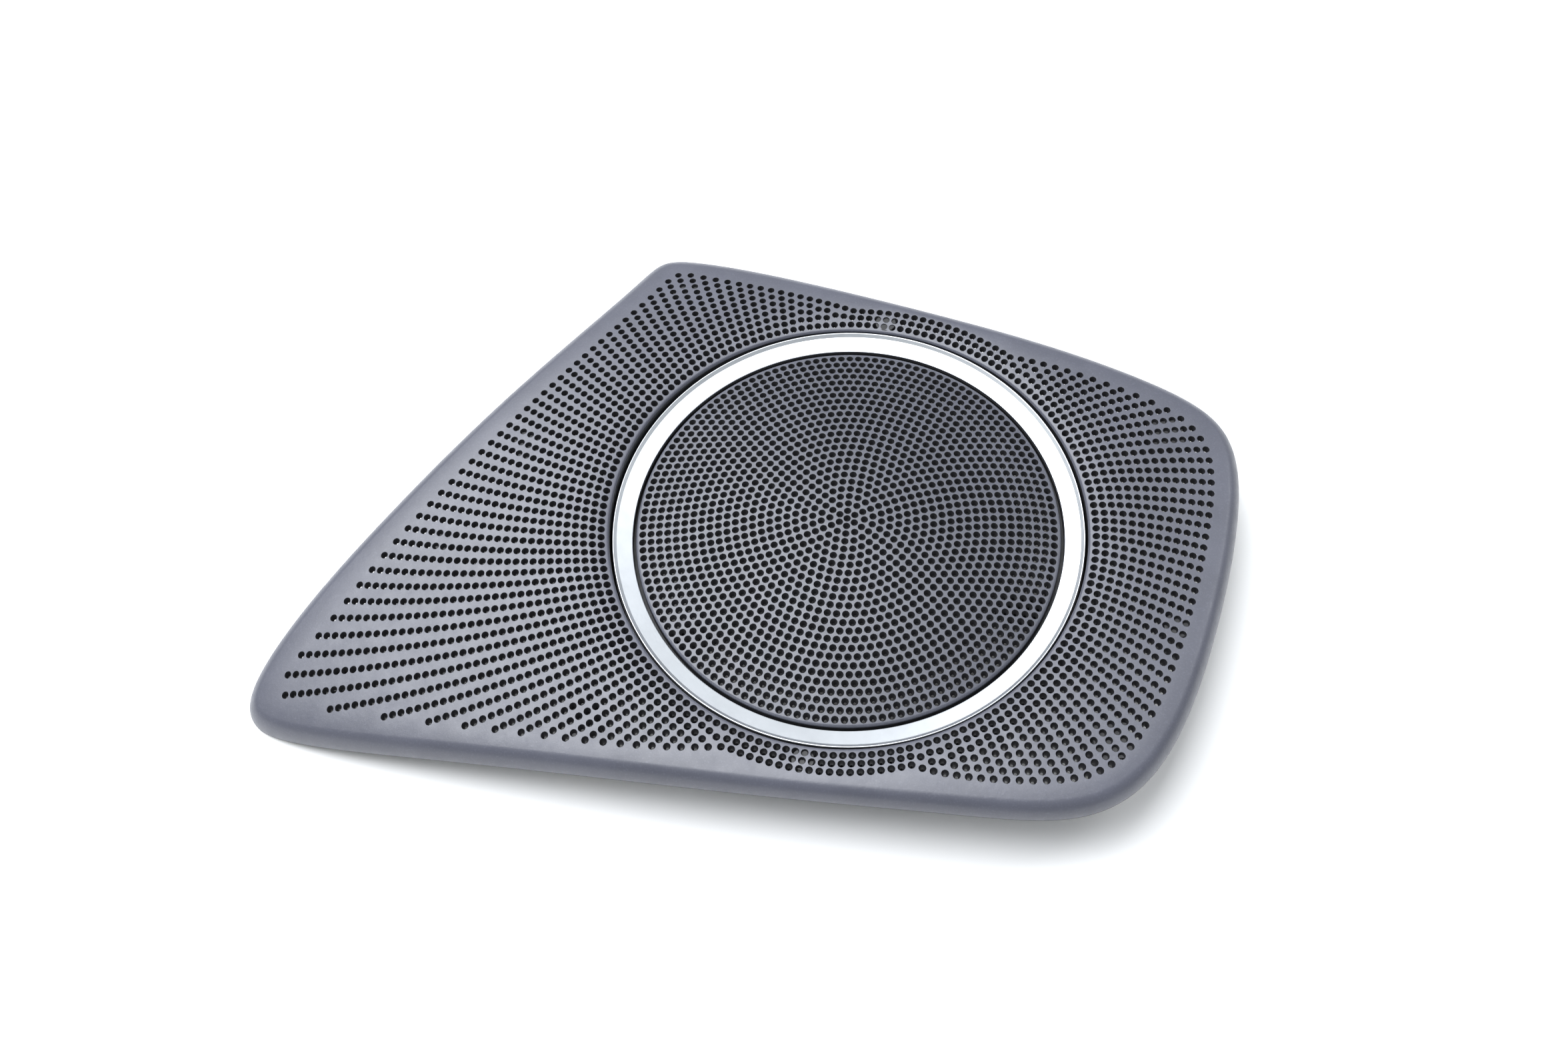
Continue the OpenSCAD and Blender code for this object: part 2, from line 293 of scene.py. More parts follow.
def spline(control, steps):
    """A closed uniform cubic B-spline in plan, and its direction."""
    c = np.asarray(control, float)
    t = (np.arange(steps) / steps)[:, None]
    points, ways = [], []
    for i in range(len(c)):
        p = [c[(i + k) % len(c)] for k in range(4)]
        points.append(((1 - t) ** 3 * p[0] + (3 * t ** 3 - 6 * t * t + 4) * p[1]
                       + (-3 * t ** 3 + 3 * t * t + 3 * t + 1) * p[2] + t ** 3 * p[3]) / 6)
        ways.append(-(1 - t) ** 2 * p[0] + (3 * t * t - 4 * t) * p[1]
                    + (-3 * t * t + 2 * t + 1) * p[2] + t * t * p[3])
    return np.concatenate(points), unit(np.concatenate(ways))


def circle(radius, steps, start=0.0, centre=(0, 0)):
    a = start + np.arange(steps) * TAU / steps
    return np.stack([centre[0] + radius * np.cos(a), centre[1] + radius * np.sin(a)], -1)


def triangles(plan, loops):
    """Triangles between closed loops of plan points: the first loop is the outside and the rest
    are holes. None is made in a hole or, where the first loop bends inwards, beyond it."""
    edges = [(int(i), int(j)) for loop in loops for i, j in zip(loop, np.roll(loop, -1))]
    made = geometry.delaunay_2d_cdt([Vector(p) for p in plan], edges, [], 1, 1e-6, False)
    if len(made[0]) != len(plan):
        raise SystemExit("the perforation's loops touch each other")
    tri = np.array([f for f in made[2] if len(f) == 3])
    owner = np.zeros(len(plan), int)
    for k, loop in enumerate(loops):
        owner[loop] = k
    o = owner[tri]
    mixed = (o[:, 0] != o[:, 1]) | (o[:, 1] != o[:, 2])
    tri = tri[mixed | (o[:, 0] == 0) & inside(plan[tri].mean(1), plan[loops[0]])]
    a, b, c = (plan[tri[:, k]] for k in range(3))
    turn = (b[:, 0] - a[:, 0]) * (c[:, 1] - a[:, 1]) - (b[:, 1] - a[:, 1]) * (c[:, 0] - a[:, 0])
    tri[turn < 0] = tri[turn < 0][:, ::-1]
    return tri


def inside(points, loop):
    """Whether each plan point lies inside a closed loop."""
    ahead = np.roll(loop, -1, 0)
    x, y = points[:, :1], points[:, 1:]
    spans = (loop[:, 1] > y) != (ahead[:, 1] > y)
    rise = np.where(loop[:, 1] == ahead[:, 1], 1.0, ahead[:, 1] - loop[:, 1])
    crossing = loop[:, 0] + (y - loop[:, 1]) * (ahead[:, 0] - loop[:, 0]) / rise
    return (spans & (x < crossing)).sum(1) % 2 == 1


def perforated(shell, centres, height, rims, low_rims, thickness, crown=0.0):
    """A moulded sheet between rims, with round holes that narrow towards its back. Its face takes
    the first finish, and its back and the holes' walls the second, a dark unpainted plastic whose
    colour on the walls is partly painted shade. A crown leans the outer rim's facing outwards.
    Returns the rims' points on the face and on the back."""
    ring = circle(1.0, HOLE_STEPS)
    mouths = centres[:, None] + ring * (HOLE_R + HOLE_RIM)
    backs = centres[:, None] + ring * HOLE_BACK_R
    plan = np.concatenate([*rims, mouths.reshape(-1, 2)])
    low_plan = np.concatenate([*low_rims, backs.reshape(-1, 2)])
    sizes = np.cumsum([0] + [len(r) for r in rims])
    mouth_at = sizes[-1] + np.arange(mouths.size // 2).reshape(-1, HOLE_STEPS)
    rims_at = [np.arange(a, b) for a, b in zip(sizes, sizes[1:])]
    tri = triangles(plan, rims_at + list(mouth_at))
    facing = face_normal(height, plan)
    along = unit(np.roll(rims[0], -1, 0) - np.roll(rims[0], 1, 0))
    facing[rims_at[0], :2] += np.stack([along[:, 1], -along[:, 0]], -1) * crown
    facing = unit(facing)
    low_facing = -face_normal(height, low_plan)
    top = shell.add(np.c_[plan, height(plan)])
    low = shell.add(np.c_[low_plan, height(low_plan) - thickness])
    shell.face(top[tri], facing[tri])
    # The back and the hole walls take the dark second finish; on the walls it is partly painted shade.
    shell.current = 1
    shell.face(low[tri][:, ::-1], low_facing[tri][:, ::-1])
    inward = np.broadcast_to(np.c_[-ring, np.zeros(HOLE_STEPS)], mouths.shape[:2] + (3,))
    edges = centres[:, None] + ring * HOLE_R
    flat = edges.reshape(-1, 2)
    edge = shell.add(np.c_[flat, height(flat) - HOLE_RIM].reshape(mouths.shape[:2] + (3,)))
    draft = unit(np.array([thickness - HOLE_RIM, HOLE_R - HOLE_BACK_R]))
    wall = unit(inward * draft[0] + UP * draft[1])
    shell.band(low[mouth_at], edge, wall, wall)
    shell.current = 0
    shell.band(edge, top[mouth_at], unit(inward + UP), facing[mouth_at])
    return [(top[r], low[r], facing[r]) for r in rims_at]


def face_normal(height, plan, d=0.01):
    dx = (height(plan + [d, 0]) - height(plan - [d, 0])) / (2 * d)
    dy = (height(plan + [0, d]) - height(plan - [0, d])) / (2 * d)
    return unit(np.stack([-dx, -dy, np.ones_like(dx)], -1))


# ---------------------------------------------------------------- surfaces and hole patterns


def panel_height(plan):
    """The panel's face: a bow along each side, a fall to the long corner and a dip at the ring."""
    a, b = plan[..., 0] / 100, plan[..., 1] / 100
    r = np.hypot(plan[..., 0], plan[..., 1])
    return (7.8 - 1.8 * np.exp((71.25 - r) / 7.5) - 1.7 * a - 0.7 * b - 3.4 * a * a - 2.9 * a * b
            - 6.4 * b * b + 1.8 * a ** 3 + 2.3 * a * a * b + 4.3 * a * b * b)


def dome_height(plan):
    r = np.hypot(plan[..., 0], plan[..., 1])
    return DOME * (1 - (r / DOME_R) ** 2)


def grille_centres():
    """One hole in the middle and rings of six times their number, each turned a little."""
    out = [[0.0, 0.0]]
    for k in range(1, RINGS + 1):
        start = math.radians(21.34 - 0.632 * k)
        out += circle(PITCH * k, 6 * k, start).tolist()
    return np.array(out)


def row_way(row, r):
    """The direction of a point on a row, which bends slightly as it runs outwards."""
    return np.radians(360 / ROWS * row - 179.24 - 0.1084 * (r - 71.25))


def panel_centres():
    """Rows of holes that run outwards from the ring and end on one smooth line."""
    line, _ = spline(ROW_ENDS, 60)
    way = np.unwrap(np.arctan2(line[:, 1], line[:, 0]))
    reach = np.hypot(*line.T)
    order = np.argsort(way)
    way, reach = way[order], reach[order]
    out = []
    for row in range(ROWS):
        end = 90.0
        for _ in range(4):
            at = (row_way(row, end) - way[0]) % TAU + way[0]
            end = max(float(np.interp(at, way, reach, period=TAU)), SHORTEST_ROW_R)
        gaps = max(2, int((end - ROW_START_R) / ROW_GAP))
        r = np.linspace(ROW_START_R, end, gaps + 1)
        out.append(np.stack([r * np.cos(row_way(row, r)), r * np.sin(row_way(row, r))], -1))
    return np.concatenate(out)


# ---------------------------------------------------------------- materials


class Finish:
    """A Principled material whose colour, roughness and relief vary with the place on the part."""

    def __init__(self, name, base, roughness, metallic=0.0, **shader):
        self.material = bpy.data.materials.new(name)
        self.material.use_nodes = True
        self.nodes, self.links = self.material.node_tree.nodes, self.material.node_tree.links
        self.bsdf = self.nodes["Principled BSDF"]
        self.base = (*base, 1.0)
        self.bsdf.inputs["Base Color"].default_value = self.base
        self.bsdf.inputs["Roughness"].default_value = roughness
        self.bsdf.inputs["Metallic"].default_value = metallic
        for key, value in shader.items():
            self.bsdf.inputs[key.replace("_", " ")].default_value = value
        self.where = self.nodes.new("ShaderNodeTexCoord").outputs["Object"]
        self.colour, self.normal = None, None

    def node(self, kind, **inputs):
        made = self.nodes.new(kind)
        for key, value in inputs.items():
            socket = made.inputs[key.replace("_", " ")]
            if isinstance(value, bpy.types.NodeSocket):
                self.links.new(value, socket)
            else:
                socket.default_value = value
        return made

    def noise(self, size, detail=3.0, stretch=(1, 1, 1), rough=0.55):
        """Noise with features of about size millimetres."""
        at = self.node("ShaderNodeMapping", Vector=self.where, Scale=stretch).outputs["Vector"]
        return self.node("ShaderNodeTexNoise", Vector=at, Scale=1 / (size * MM), Detail=detail,
                         Roughness=rough).outputs["Fac"]

    def cells(self, size):
        at = self.node("ShaderNodeMapping", Vector=self.where).outputs["Vector"]
        return self.node("ShaderNodeTexVoronoi", Vector=at, Scale=1 / (size * MM)).outputs["Distance"]

    def windings(self, pitch):
        """Bands that repeat along the height."""
        wave = self.node("ShaderNodeTexWave", Vector=self.where, Scale=math.pi / (10 * pitch * MM),
                         Distortion=0.0)
        wave.bands_direction = "Z"
        return wave.outputs["Fac"]

    def span(self, value, low, high, to_low, to_high):
        return self.node("ShaderNodeMapRange", Value=value, From_Min=low, From_Max=high, To_Min=to_low,
                         To_Max=to_high).outputs["Result"]

    def tint(self, mask, colour, low=0.4, high=0.6, amount=1.0):
        """Mixes a second colour in where the mask is high."""
        mix = self.nodes.new("ShaderNodeMix")
        mix.data_type = "RGBA"
        self.links.new(self.span(mask, low, high, 0.0, amount), mix.inputs["Factor"])
        a, b, result = mix.inputs[6], mix.inputs[7], mix.outputs[2]
        if self.colour is None:
            a.default_value = self.base
        else:
            self.links.new(self.colour, a)
        b.default_value = (*colour, 1.0)
        self.colour = result
        self.links.new(result, self.bsdf.inputs["Base Color"])
        return self

    def gloss(self, mask, low, high):
        self.links.new(self.span(mask, 0.3, 0.7, low, high), self.bsdf.inputs["Roughness"])
        return self

    def relief(self, mask, depth, strength=1.0):
        """Raises the surface by up to depth millimetres where the mask is high."""
        bump = self.node("ShaderNodeBump", Height=mask, Distance=depth * MM, Strength=strength)
        if self.normal is not None:
            self.links.new(self.normal, bump.inputs["Normal"])
        self.normal = bump.outputs["Normal"]
        self.links.new(self.normal, self.bsdf.inputs["Normal"])
        return self


def moulded(name, base, roughness, grain=0.3, depth=0.012, light=1.35, **shader):
    """Moulded plastic: a fine grain, faint clouds in its colour and an uneven satin gloss."""
    f = Finish(name, base, roughness, **shader)
    f.tint(f.noise(22, 2), [c * light for c in base], 0.35, 0.75, 0.5)
    f.tint(f.noise(grain * 1.6, 2), [c * light * 1.25 for c in base], 0.52, 0.78, 0.5)
    f.gloss(f.noise(3.5, 4), roughness - 0.05, roughness + 0.06)
    f.relief(f.noise(grain, 3), depth).relief(f.noise(1.4, 2), depth * 1.6)
    return f.material


def metal(name, base, roughness, stretch=(1, 1, 1), size=0.6, spread=0.06, depth=0.002, tarnish=None):
    """Metal with fine drawn or turned lines and a faint change of tone."""
    f = Finish(name, base, roughness, 1.0)
    f.tint(f.noise(9, 3), tarnish or [c * 0.88 for c in base], 0.4, 0.7, 0.6)
    f.gloss(f.noise(size, 3, stretch), roughness - spread, roughness + spread)
    f.relief(f.noise(size * 0.5, 2, stretch), depth)
    return f.material


def make_finishes():
    panel = moulded("panel_plastic", (0.068, 0.071, 0.094), 0.38, grain=0.32, depth=0.02,
                    Specular_IOR_Level=0.75)
    grille = moulded("grille_plastic", (0.066, 0.069, 0.089), 0.38, grain=0.3, depth=0.016,
                     Specular_IOR_Level=0.7)
    ring = metal("trim_aluminium", (0.79, 0.82, 0.86), 0.34, size=0.35, spread=0.04, depth=0.0012)
    # Dark unpainted plastic for the backs, the hole walls and the panel's lip. On the hole walls and the lip
    # its darkness is partly painted shade.
    back_and_shade = moulded("unpainted_plastic_and_shade", (0.014, 0.014, 0.016), 0.5, grain=0.4)
    carrier = moulded("carrier_plastic", (0.02, 0.02, 0.023), 0.5)
    bracket = moulded("bracket_plastic", (0.03, 0.03, 0.034), 0.55, grain=0.5, depth=0.02)
    tweeter = moulded("tweeter_plastic", (0.015, 0.015, 0.017), 0.48, grain=0.2)
    nylon = moulded("clip_nylon", (0.62, 0.58, 0.47), 0.38, grain=0.6, depth=0.006, light=1.12,
                    Subsurface_Weight=0.15, Subsurface_Scale=0.001)
    fleece = Finish("black_fleece", (0.008, 0.008, 0.009), 0.95, Sheen_Weight=0.3, Sheen_Roughness=0.5)
    fleece.tint(fleece.noise(0.5, 4), (0.03, 0.03, 0.033), 0.5, 0.75)
    fleece.relief(fleece.noise(0.25, 4, (1, 3, 1)), 0.1).relief(fleece.noise(0.25, 4, (3, 1, 1)), 0.1)
    foam = Finish("seal_foam", (0.03, 0.03, 0.032), 0.92)
    foam.tint(foam.cells(0.55), (0.006, 0.006, 0.007), 0.1, 0.6)
    foam.relief(foam.cells(0.55), 0.25).relief(foam.noise(2.5, 2), 0.2)
    steel = metal("screw_steel", (0.55, 0.56, 0.58), 0.32, size=0.5, tarnish=(0.5, 0.5, 0.42))
    dome = metal("dome_aluminium", (0.62, 0.64, 0.68), 0.3, size=0.4, spread=0.03)
    rubber = Finish("surround_rubber", (0.013, 0.013, 0.014), 0.62)
    rubber.tint(rubber.noise(1.2, 3), (0.03, 0.03, 0.031), 0.5, 0.8).relief(rubber.noise(0.2, 2), 0.01)
    film = Finish("former_film", (0.55, 0.29, 0.06), 0.25, Coat_Weight=0.4, Coat_Roughness=0.1)
    film.tint(film.noise(2.0, 2), (0.4, 0.19, 0.035), 0.4, 0.7).relief(film.noise(0.8, 2), 0.004)
    copper = Finish("coil_copper", (0.72, 0.28, 0.12), 0.28, 1.0, Coat_Weight=0.5, Coat_Roughness=0.15)
    copper.tint(copper.noise(1.5, 2), (0.5, 0.17, 0.07)).relief(copper.windings(0.16), 0.05)
    nickel = metal("magnet_nickel", (0.6, 0.6, 0.58), 0.18, size=0.8, spread=0.05)
    yoke = metal("yoke_steel", (0.42, 0.43, 0.44), 0.36, size=0.5, tarnish=(0.36, 0.35, 0.3))
    felt = Finish("felt", (0.05, 0.05, 0.048), 1.0, Sheen_Weight=0.3)
    felt.tint(felt.noise(0.4, 4), (0.14, 0.135, 0.125)).relief(felt.noise(0.25, 4, (1, 3, 1)), 0.15)
    brass = metal("contact_brass", (0.72, 0.62, 0.42), 0.25, (6, 1, 6), size=0.6)
    return {"panel": panel, "grille": grille, "back_and_shade": back_and_shade, "ring": ring, "carrier": carrier,
            "bracket": bracket, "tweeter": tweeter, "nylon": nylon, "steel": steel, "dome": dome,
            "nickel": nickel, "yoke": yoke, "brass": brass, "fleece": fleece.material,
            "foam": foam.material, "rubber": rubber.material, "film": film.material,
            "copper": copper.material, "felt": felt.material}


# ---------------------------------------------------------------- cover


def make_panel(finish):
    shell = Shell()
    edge, way = spline(OUTLINE, 24)
    inward = np.stack([-way[:, 1], way[:, 0]], -1)
    edge += inward * EDGE_INSET
    outward = np.c_[-inward, np.zeros(len(edge))]

    def inset(distance):
        return edge + inward * distance

    lip_r = OPENING_R + OPENING_ROUND
    rims = [inset(ROLL_REACH), circle(lip_r, 2 * ROWS)]
    low_rims = [inset(ROLL_REACH + 0.5), circle(WALL_R, 2 * ROWS)]
    outer, inner = perforated(shell, panel_centres(), panel_height, rims, low_rims, SKIN,
                              crown=EDGE_CROWN)

    # Outer edge: a quarter round, a chamfered lip and the skin's inner side.
    row, facing = outer[0], outer[2]
    for a in np.radians(np.linspace(0, 90, 9))[1:]:
        p = inset(ROLL_REACH * (1 - math.sin(a)))
        new = shell.add(np.c_[p, panel_height(p) - ROLL_DROP * (1 - math.cos(a))])
        new_facing = unit(outward * math.sin(a) / ROLL_REACH + outer[2] * math.cos(a) / ROLL_DROP)
        shell.band(row, new, facing, new_facing)
        row, facing = new, new_facing
    at = (0.0, ROLL_DROP)
    lip = [(0.0, 5.35), (0.14, 5.72), (0.5, 6.0), (1.25, 6.0), (1.5, 5.75), (1.6, 5.0), (2.4, 2.3)]
    # The lip takes the dark unpainted finish, which also paints shade along the panel's edge.
    shell.current = 1
    for step in lip + [(ROLL_REACH + 0.5, SKIN)]:
        p = inset(step[0])
        last = step[0] > ROLL_REACH
        new = outer[1] if last else shell.add(np.c_[p, panel_height(p) - step[1]])
        way_in, way_down = step[0] - at[0], step[1] - at[1]
        flat = unit(outward * way_down - UP * way_in)
        shell.band(row, new, flat, flat)
        row, at = new, step

    # Ring opening: a small rounding, a wall down to the carrier's seat and its outer side.
    shell.current = 0
    row, facing = inner[0], inner[2]
    angles = np.arange(2 * ROWS) * TAU / (2 * ROWS)
    to_axis = -np.stack([np.cos(angles), np.sin(angles), 0 * angles], -1)
    for a in np.radians([30, 60, 90]):
        p = circle(lip_r - OPENING_ROUND * math.sin(a), 2 * ROWS)
        new = shell.add(np.c_[p, panel_height(p) - OPENING_ROUND * (1 - math.cos(a))])
        new_facing = unit(to_axis * math.sin(a) + inner[2] * math.cos(a))
        shell.band(new, row, new_facing, facing)
        row, facing = new, new_facing
    shell.current = 1
    seat = shell.add(np.c_[circle(OPENING_R, 2 * ROWS), np.full(2 * ROWS, SEAT_Z)])
    seat_out = shell.add(np.c_[circle(WALL_R, 2 * ROWS), np.full(2 * ROWS, SEAT_Z)])
    shell.band(seat, row, to_axis, to_axis)
    shell.band(seat_out, seat, -UP, -UP)
    shell.band(inner[1], seat_out, -to_axis, -to_axis)

    # Screw bosses, clip towers and locating pins.
    for p in circle(CARRIER_SCREW_R, 6, CARRIER_SCREW_TURN):
        boss = [(1.5, 0), (1.5, SEAT_Z), (3.2, SEAT_Z), (3.2, 2), (0.01, 2), (0.01, 0)]
        shell.turn(rounded(boss, 0.25), 40, p)
    tower_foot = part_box("push_clip_1")[0].z / MM - AXIS[2] + 8
    for p in CLIPS:
        top = tower_top(p, TOWER / 2)
        shell.stack([(square(p, TOWER / 2, 1.2), top), (square(p, TOWER / 2, 1.2), tower_foot + 0.4),
                     (square(p, TOWER / 2 - 0.4, 0.9), tower_foot)])
    for p in PINS:
        top = tower_top(p, 4)
        shell.turn(rounded([(0, tower_foot - 6), (2, tower_foot - 6), (2, tower_foot), (4, tower_foot),
                            (4, top), (0, top)], 0.5), 48, p)
    return shell.build("panel_skin", [finish["panel"], finish["back_and_shade"]], "cover", ["outer_panel"],
                       "panel_plastic")


def tower_top(p, half):
    """A height inside the skin all over a tower's footprint."""
    corners = np.array([[p[0] + sx * half, p[1] + sy * half] for sx in (-1, 1) for sy in (-1, 1)])
    return panel_height(corners).min() - SKIN / 2


def square(centre, half, radius, arc_steps=4):
    """A square loop with round corners, counter-clockwise."""
    loop = []
    for quarter in range(4):
        a0 = quarter * math.pi / 2
        middle = np.array([math.cos(a0 + math.pi / 4), math.sin(a0 + math.pi / 4)]) * math.sqrt(2)
        middle *= half - radius
        for k in range(arc_steps + 1):
            a = a0 + k * math.pi / 2 / arc_steps
            loop.append(middle + radius * np.array([math.cos(a), math.sin(a)]) + centre)
    return np.array(loop)


def make_grille(finish):
    shell = Shell()
    steps = 288
    rim_r, skirt_r = DISC_R - 0.8, DISC_R - 0.9
    (rim,) = perforated(shell, grille_centres(), dome_height, [circle(rim_r, steps)],
                        [circle(skirt_r, steps)], DISC_T)
    angles = np.arange(steps) * TAU / steps
    out = np.stack([np.cos(angles), np.sin(angles), 0 * angles], -1)
    top_z = float(dome_height(np.array([rim_r, 0.0])))
    row, facing = rim[0], rim[2]
    for a in np.radians([22.5, 45, 67.5, 90]):
        r = rim_r + 0.8 * math.sin(a)
        z = top_z - 0.8 * (1 - math.cos(a))
        new = shell.add(np.c_[circle(r, steps), np.full(steps, z)])
        new_facing = unit(out * math.sin(a) + rim[2] * math.cos(a))
        shell.band(row, new, facing, new_facing)
        row, facing = new, new_facing
    shell.current = 1
    foot = shell.add(np.c_[circle(DISC_R, steps), np.full(steps, SKIRT_Z)])
    foot_in = shell.add(np.c_[circle(skirt_r, steps), np.full(steps, SKIRT_Z)])
    shell.band(row, foot, out, out)
    shell.band(foot, foot_in, -UP, -UP)
    shell.band(foot_in, rim[1], -out, -out)
    return shell.build("centre_grille_dome", [finish["grille"], finish["back_and_shade"]], "cover",
                       ["centre_grille"], "grille_plastic")


def make_ring(finish):
    shell = Shell()
    profile = [(63, -2), (68.75, -1), (68.75, 1.6), (68.45, 1.8), (67.5, 0.9), (63, -0.5)]
    shell.turn(rounded(profile, 0.3, 5), 360)
    return shell.build("trim_ring_metal", finish["ring"], "cover", ["trim_ring"], "trim_aluminium")


def make_cloth(finish):
    shell = Shell()
    r = np.linspace(0, CLOTH_R, 60)
    top = DOME * (1 - (r / DOME_R) ** 2) - DISC_T - CLOTH_GAP
    stations = smooth_line(np.c_[r, top - CLOTH_T]) + smooth_line(np.c_[r, top][::-1])
    shell.turn(stations, 180)
    cloth = shell.build("centre_cloth_disc", finish["fleece"], "cover", ["centre_cloth"],
                        "black_fleece")


def make_carrier(finish):
    shell = Shell()
    profile = [(59.8, -8), (76.5, -8), (76.5, -6), (69.1, -6), (69.1, -1.03), (68.75, -1.03),
               (63.2, -2), (63.2, -4), (59.8, -4)]
    shell.turn(rounded(profile, 0.25), 288)
    for p in circle(BRACKET_SCREW_R, 3, math.pi / 2):
        post = [(1.3, -8), (4.5, -8), (4.5, -6), (2.2, -6), (2.2, -3.5), (1.3, -3.5)]
        shell.turn(rounded(post, 0.2), 48, p)
        web = unit(p) * 2.4 + p
        along = unit(p)
        across = np.array([-along[1], along[0]])
        loop = [web + along * u + across * v for u, v in ((-2, -4.4), (2, -4.4), (2, 4.4), (-2, 4.4))]
        shell.stack([(np.array(loop), -6.02), (np.array(loop), -7.98)])
    return shell.build("carrier_ring", finish["carrier"], "cover", ["ring_carrier"], "carrier_plastic")


def make_seal(finish):
    shell = Shell()
    r0, r1, z0, z1 = 64.0, 69.5, -16.0, -8.0

    def uneven(r, z, angles):
        soft = 0.10 * np.sin(9 * angles + z) + 0.06 * np.sin(23 * angles + 2 * z)
        return r + (soft if z0 + 0.5 < z < z1 - 0.5 else -abs(soft)) * (1 if r < 66 else -1)

    sides = [(r1, z) for z in np.linspace(z0, z1, 7)] + [(r0, z) for z in np.linspace(z1, z0, 7)]
    shell.turn(rounded(sides, 0.6), 240, warp=uneven)
    seal = shell.build("seal_ring", finish["foam"], "cover", ["speaker_seal"], "seal_foam")


def screw(head_r, head_h, shank_r, shank_h, recess=0.42):
    """A pan-head screw whose head hangs below z = 0 and whose shank points up. Plain
    grooves round the shank stand for its thread."""
    shell = Shell()
    r0 = head_r * recess
    profile = [(0, -head_h * 0.4), (r0, -head_h * 0.4), (r0, -head_h), (head_r * 0.8, -head_h),
               (head_r, -head_h * 0.55), (head_r, 0), (shank_r, 0)]
    turns = int(shank_h / 0.7)
    for k in range(turns):
        z = shank_h * (k + 0.5) / (turns + 1)
        profile += [(shank_r * 0.8, z), (shank_r, z + 0.3 * shank_h / (turns + 1))]
    profile += [(shank_r * 0.35, shank_h), (0, shank_h)]

    def star(r, z, angles):
        recessed = r <= r0 * 1.02 and z < -head_h * 0.3
        return r * (1 + 0.14 * np.cos(6 * angles)) if recessed else np.full(len(angles), r)

    shell.turn(rounded(profile, 0.12), 48, warp=star)
    return shell


def make_screws(finish, name, node, one, places, z, flip=False):
    shell = Shell()
    for k, p in enumerate(places):
        turn = Matrix.Rotation(1.1 * k, 4, "Z") @ (Matrix.Rotation(math.pi, 4, "X") if flip else Matrix())
        shell.join(one.moved(Matrix.Translation((p[0], p[1], z)) @ turn))
    return shell.build(name, finish["steel"], "cover", [node], "screw_steel")


def make_clip(number, place, finish):
    """A push clip: a slit barbed head, a stem, a collar and a plug in the tower."""
    shell = Shell()
    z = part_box(f"push_clip_{number}")[0].z / MM - AXIS[2]
    profile = [(0, 0), (1.2, 0), (3.7, 3), (3.7, 3.6), (2.5, 4.4), (2.5, 6.8), (5, 6.8), (5, 8), (2.5, 8),
               (2.5, 10.6), (0, 10.6)]

    def slit(r, h, angles):
        notch = np.exp(-(np.sin(angles) / 0.16) ** 2)
        return np.full(len(angles), r) * (1 - 0.42 * notch * (0.8 < h - z < 5.5))

    stations = [(r, h + z, nr, nz) for r, h, nr, nz in rounded(profile, 0.22)]
    shell.turn(stations, 72, place, warp=slit)
    return shell.build(f"push_clip_{number}_body", finish["nylon"], "cover", [f"push_clip_{number}"],
                       "clip_nylon")


# ---------------------------------------------------------------- tweeter


def plate(loops, z0, z1, bevel):
    """A flat plate from a plan outline and holes in it, with bevelled edges. Loops run
    counter-clockwise."""
    shell = Shell()

    def offset(loop, distance):
        way = unit(np.roll(loop, -1, 0) - np.roll(loop, 1, 0))
        return loop + np.stack([way[:, 1], -way[:, 0]], -1) * distance

    sizes = np.cumsum([0] + [len(loop) for loop in loops])
    at = [np.arange(a, b) for a, b in zip(sizes, sizes[1:])]
    narrow = np.concatenate([offset(loop, -bevel if k == 0 else bevel) for k, loop in enumerate(loops)])
    tri = triangles(narrow, at)
    top = shell.add(np.c_[narrow, np.full(len(narrow), z1)])
    low = shell.add(np.c_[narrow, np.full(len(narrow), z0)])
    shell.face(top[tri], UP)
    shell.face(low[tri][:, ::-1], -UP)
    for k, loop in enumerate(loops):
        way = unit(np.roll(loop, -1, 0) - np.roll(loop, 1, 0))
        side = np.c_[way[:, 1], -way[:, 0], np.zeros(len(loop))] * (1 if k == 0 else -1)
        high = shell.add(np.c_[loop, np.full(len(loop), z1 - bevel)])
        deep = shell.add(np.c_[loop, np.full(len(loop), z0 + bevel)])
        rows = [top[at[k]], high, deep, low[at[k]]]
        faces = [unit(side + UP), side, unit(side - UP)]
        for a, b, n in zip(rows, rows[1:], faces):
            shell.band(*((a, b, n, n) if k == 0 else (b, a, n, n)))
    return shell


def make_bracket(finish):
    hub, half, reach = HOUSING_R + 7.5, 4.5, BRACKET_SCREW_R
    outline = []
    root = math.asin(half / hub)
    for arm in np.radians([90, 210, 330]):
        along, across = np.array([math.cos(arm), math.sin(arm)]), np.array([-math.sin(arm), math.cos(arm)])
        outline += [along * u - across * half for u in np.linspace(hub * math.cos(root), reach, 8)]
        outline += [along * (reach + half * math.sin(a)) - across * half * math.cos(a)
                    for a in np.linspace(0, math.pi, 13)[1:]]
        outline += [along * u + across * half for u in np.linspace(reach, hub * math.cos(root), 8)[1:]]
        for a in np.linspace(arm + root, arm + math.radians(120) - root, 24)[1:-1]:
            outline.append(hub * np.array([math.cos(a), math.sin(a)]))
    loops = [np.array(outline), circle(HOUSING_R + 0.1, 120)]
    loops += [circle(1.5, 32, 0, p) for p in circle(reach, 3, math.pi / 2)]
    loops += [circle(0.9, 24, 0, p) for p in circle(HOUSING_SCREW_R, 3, HOUSING_SCREW_TURN)]
    return plate(loops, -10, -8, 0.25).build("bracket_plate", finish["bracket"], "cover",
                                             ["tweeter_bracket"], "bracket_plastic")


